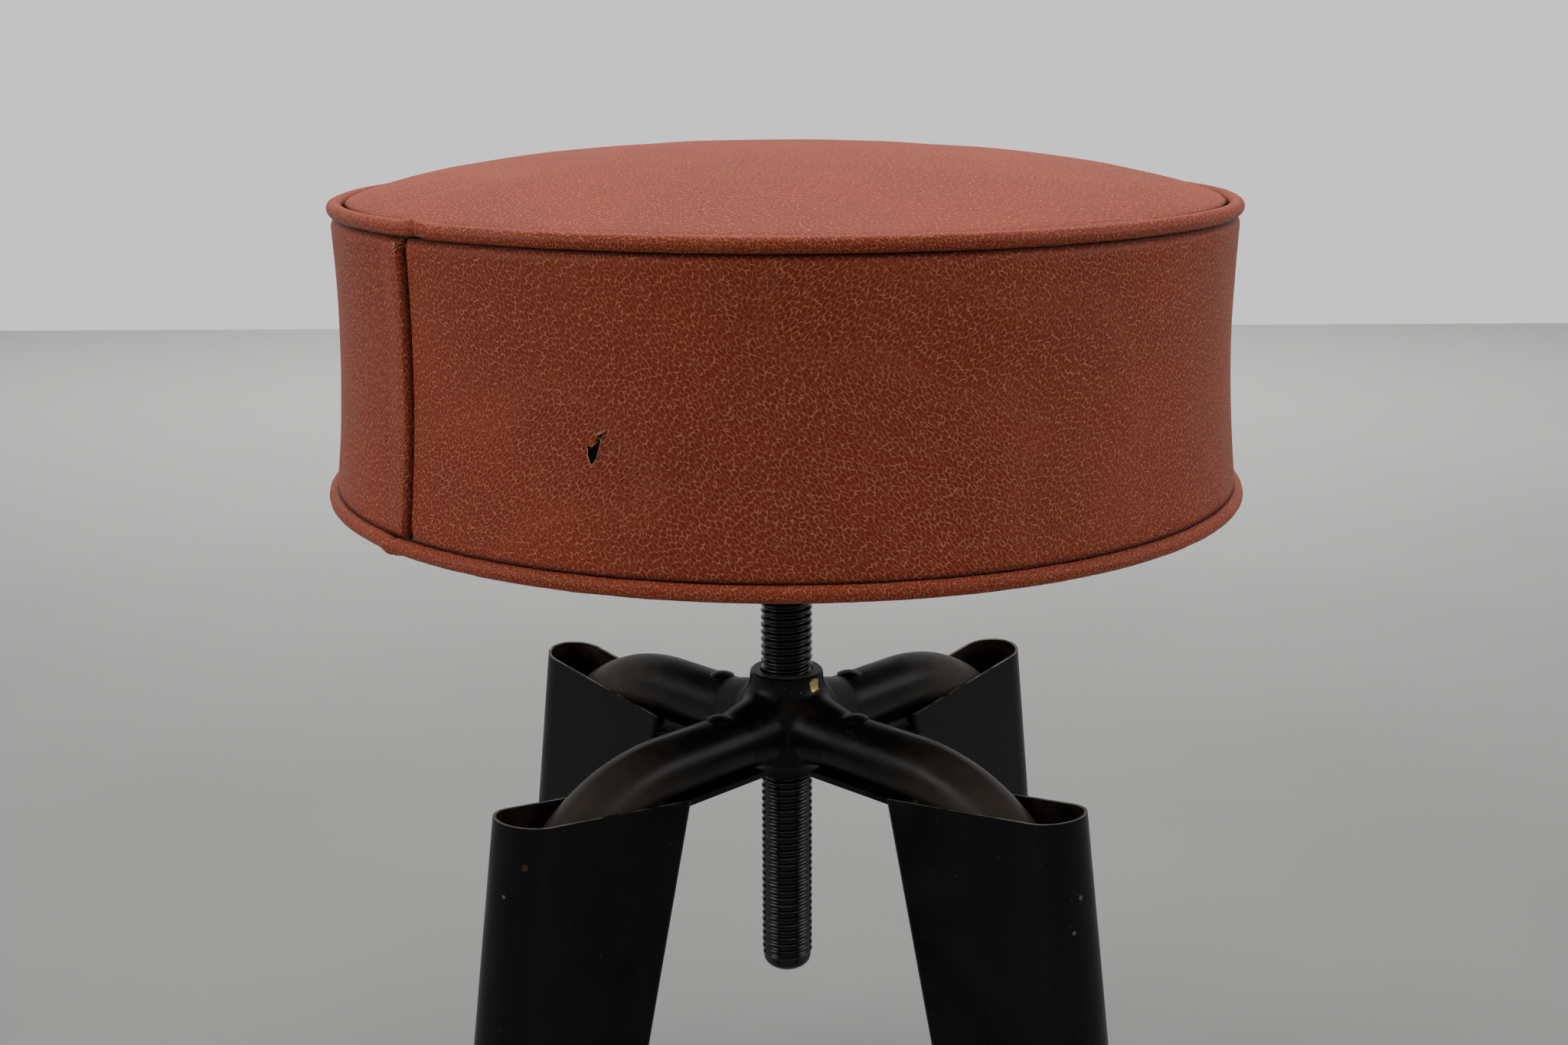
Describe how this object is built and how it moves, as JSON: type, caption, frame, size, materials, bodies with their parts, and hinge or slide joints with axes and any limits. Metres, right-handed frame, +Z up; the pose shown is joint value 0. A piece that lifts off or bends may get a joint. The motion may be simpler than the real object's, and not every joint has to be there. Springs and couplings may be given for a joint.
{
  "type": "screw stool",
  "caption": "Round padded work stool whose seat winds up and down on a threaded spindle, on a splayed base of bent tubes and folded sheet-steel legs.",
  "frame": {"origin": "on the floor, under the spindle's axis, with the seat at the height shown in the picture", "axes": "+Z up along the spindle, -Y towards the picture's viewer, +X to the viewer's right"},
  "size_m": [0.3709, 0.371, 0.5172],
  "materials": {
    "leatherette": "satin",
    "padding": "matte",
    "plywood": "matte",
    "lining": "matte",
    "tack_steel": "satin",
    "oiled_steel": "satin",
    "plate_paint": "satin",
    "felt": "matte",
    "black_enamel": "satin",
    "worn_enamel": "satin",
    "enamelled_braze": "satin",
    "foot_rubber": "matte"
  },
  "bodies": {
    "base": {"hub_bush": "black_enamel", "hub_braze": "enamelled_braze", "arm_rivets": "black_enamel", "arm_front_left": "worn_enamel", "leg_front_left": "black_enamel", "strap_front_left": "black_enamel", "foot_front_left": "foot_rubber", "arm_front_right": "worn_enamel", "leg_front_right": "black_enamel", "strap_front_right": "black_enamel", "foot_front_right": "foot_rubber", "arm_rear_right": "worn_enamel", "leg_rear_right": "black_enamel", "strap_rear_right": "black_enamel", "foot_rear_right": "foot_rubber", "arm_rear_left": "worn_enamel", "leg_rear_left": "black_enamel", "strap_rear_left": "black_enamel", "foot_rear_left": "foot_rubber"},
    "screw_felt": {"grease_felt": "felt"},
    "seat": {"spindle": "oiled_steel", "seat_plate": "plate_paint", "cross_pin": "oiled_steel", "plate_screws": "oiled_steel", "seat_board": "plywood", "seat_foam": "padding", "top_cover": "leatherette", "side_band": "leatherette", "top_piping": "leatherette", "bottom_piping": "leatherette", "dust_cover": "lining", "cover_tacks": "tack_steel"}
  },
  "joints": [
    {"name": "seat_turn", "type": "hinge", "parent": "base", "child": "screw_felt", "pos_m": [0, 0, 0.27], "axis": [0, 0, 1], "range_deg": [-6840, 9000]},
    {"name": "seat_rise", "type": "slide", "parent": "screw_felt", "child": "seat", "axis": [0, 0, 1], "range_m": [-0.06033, 0.07938]}
  ],
  "couplings": [
    {"joint": "seat_rise", "follows": "seat_turn", "m_per_rad": 0.00050532}
  ]
}
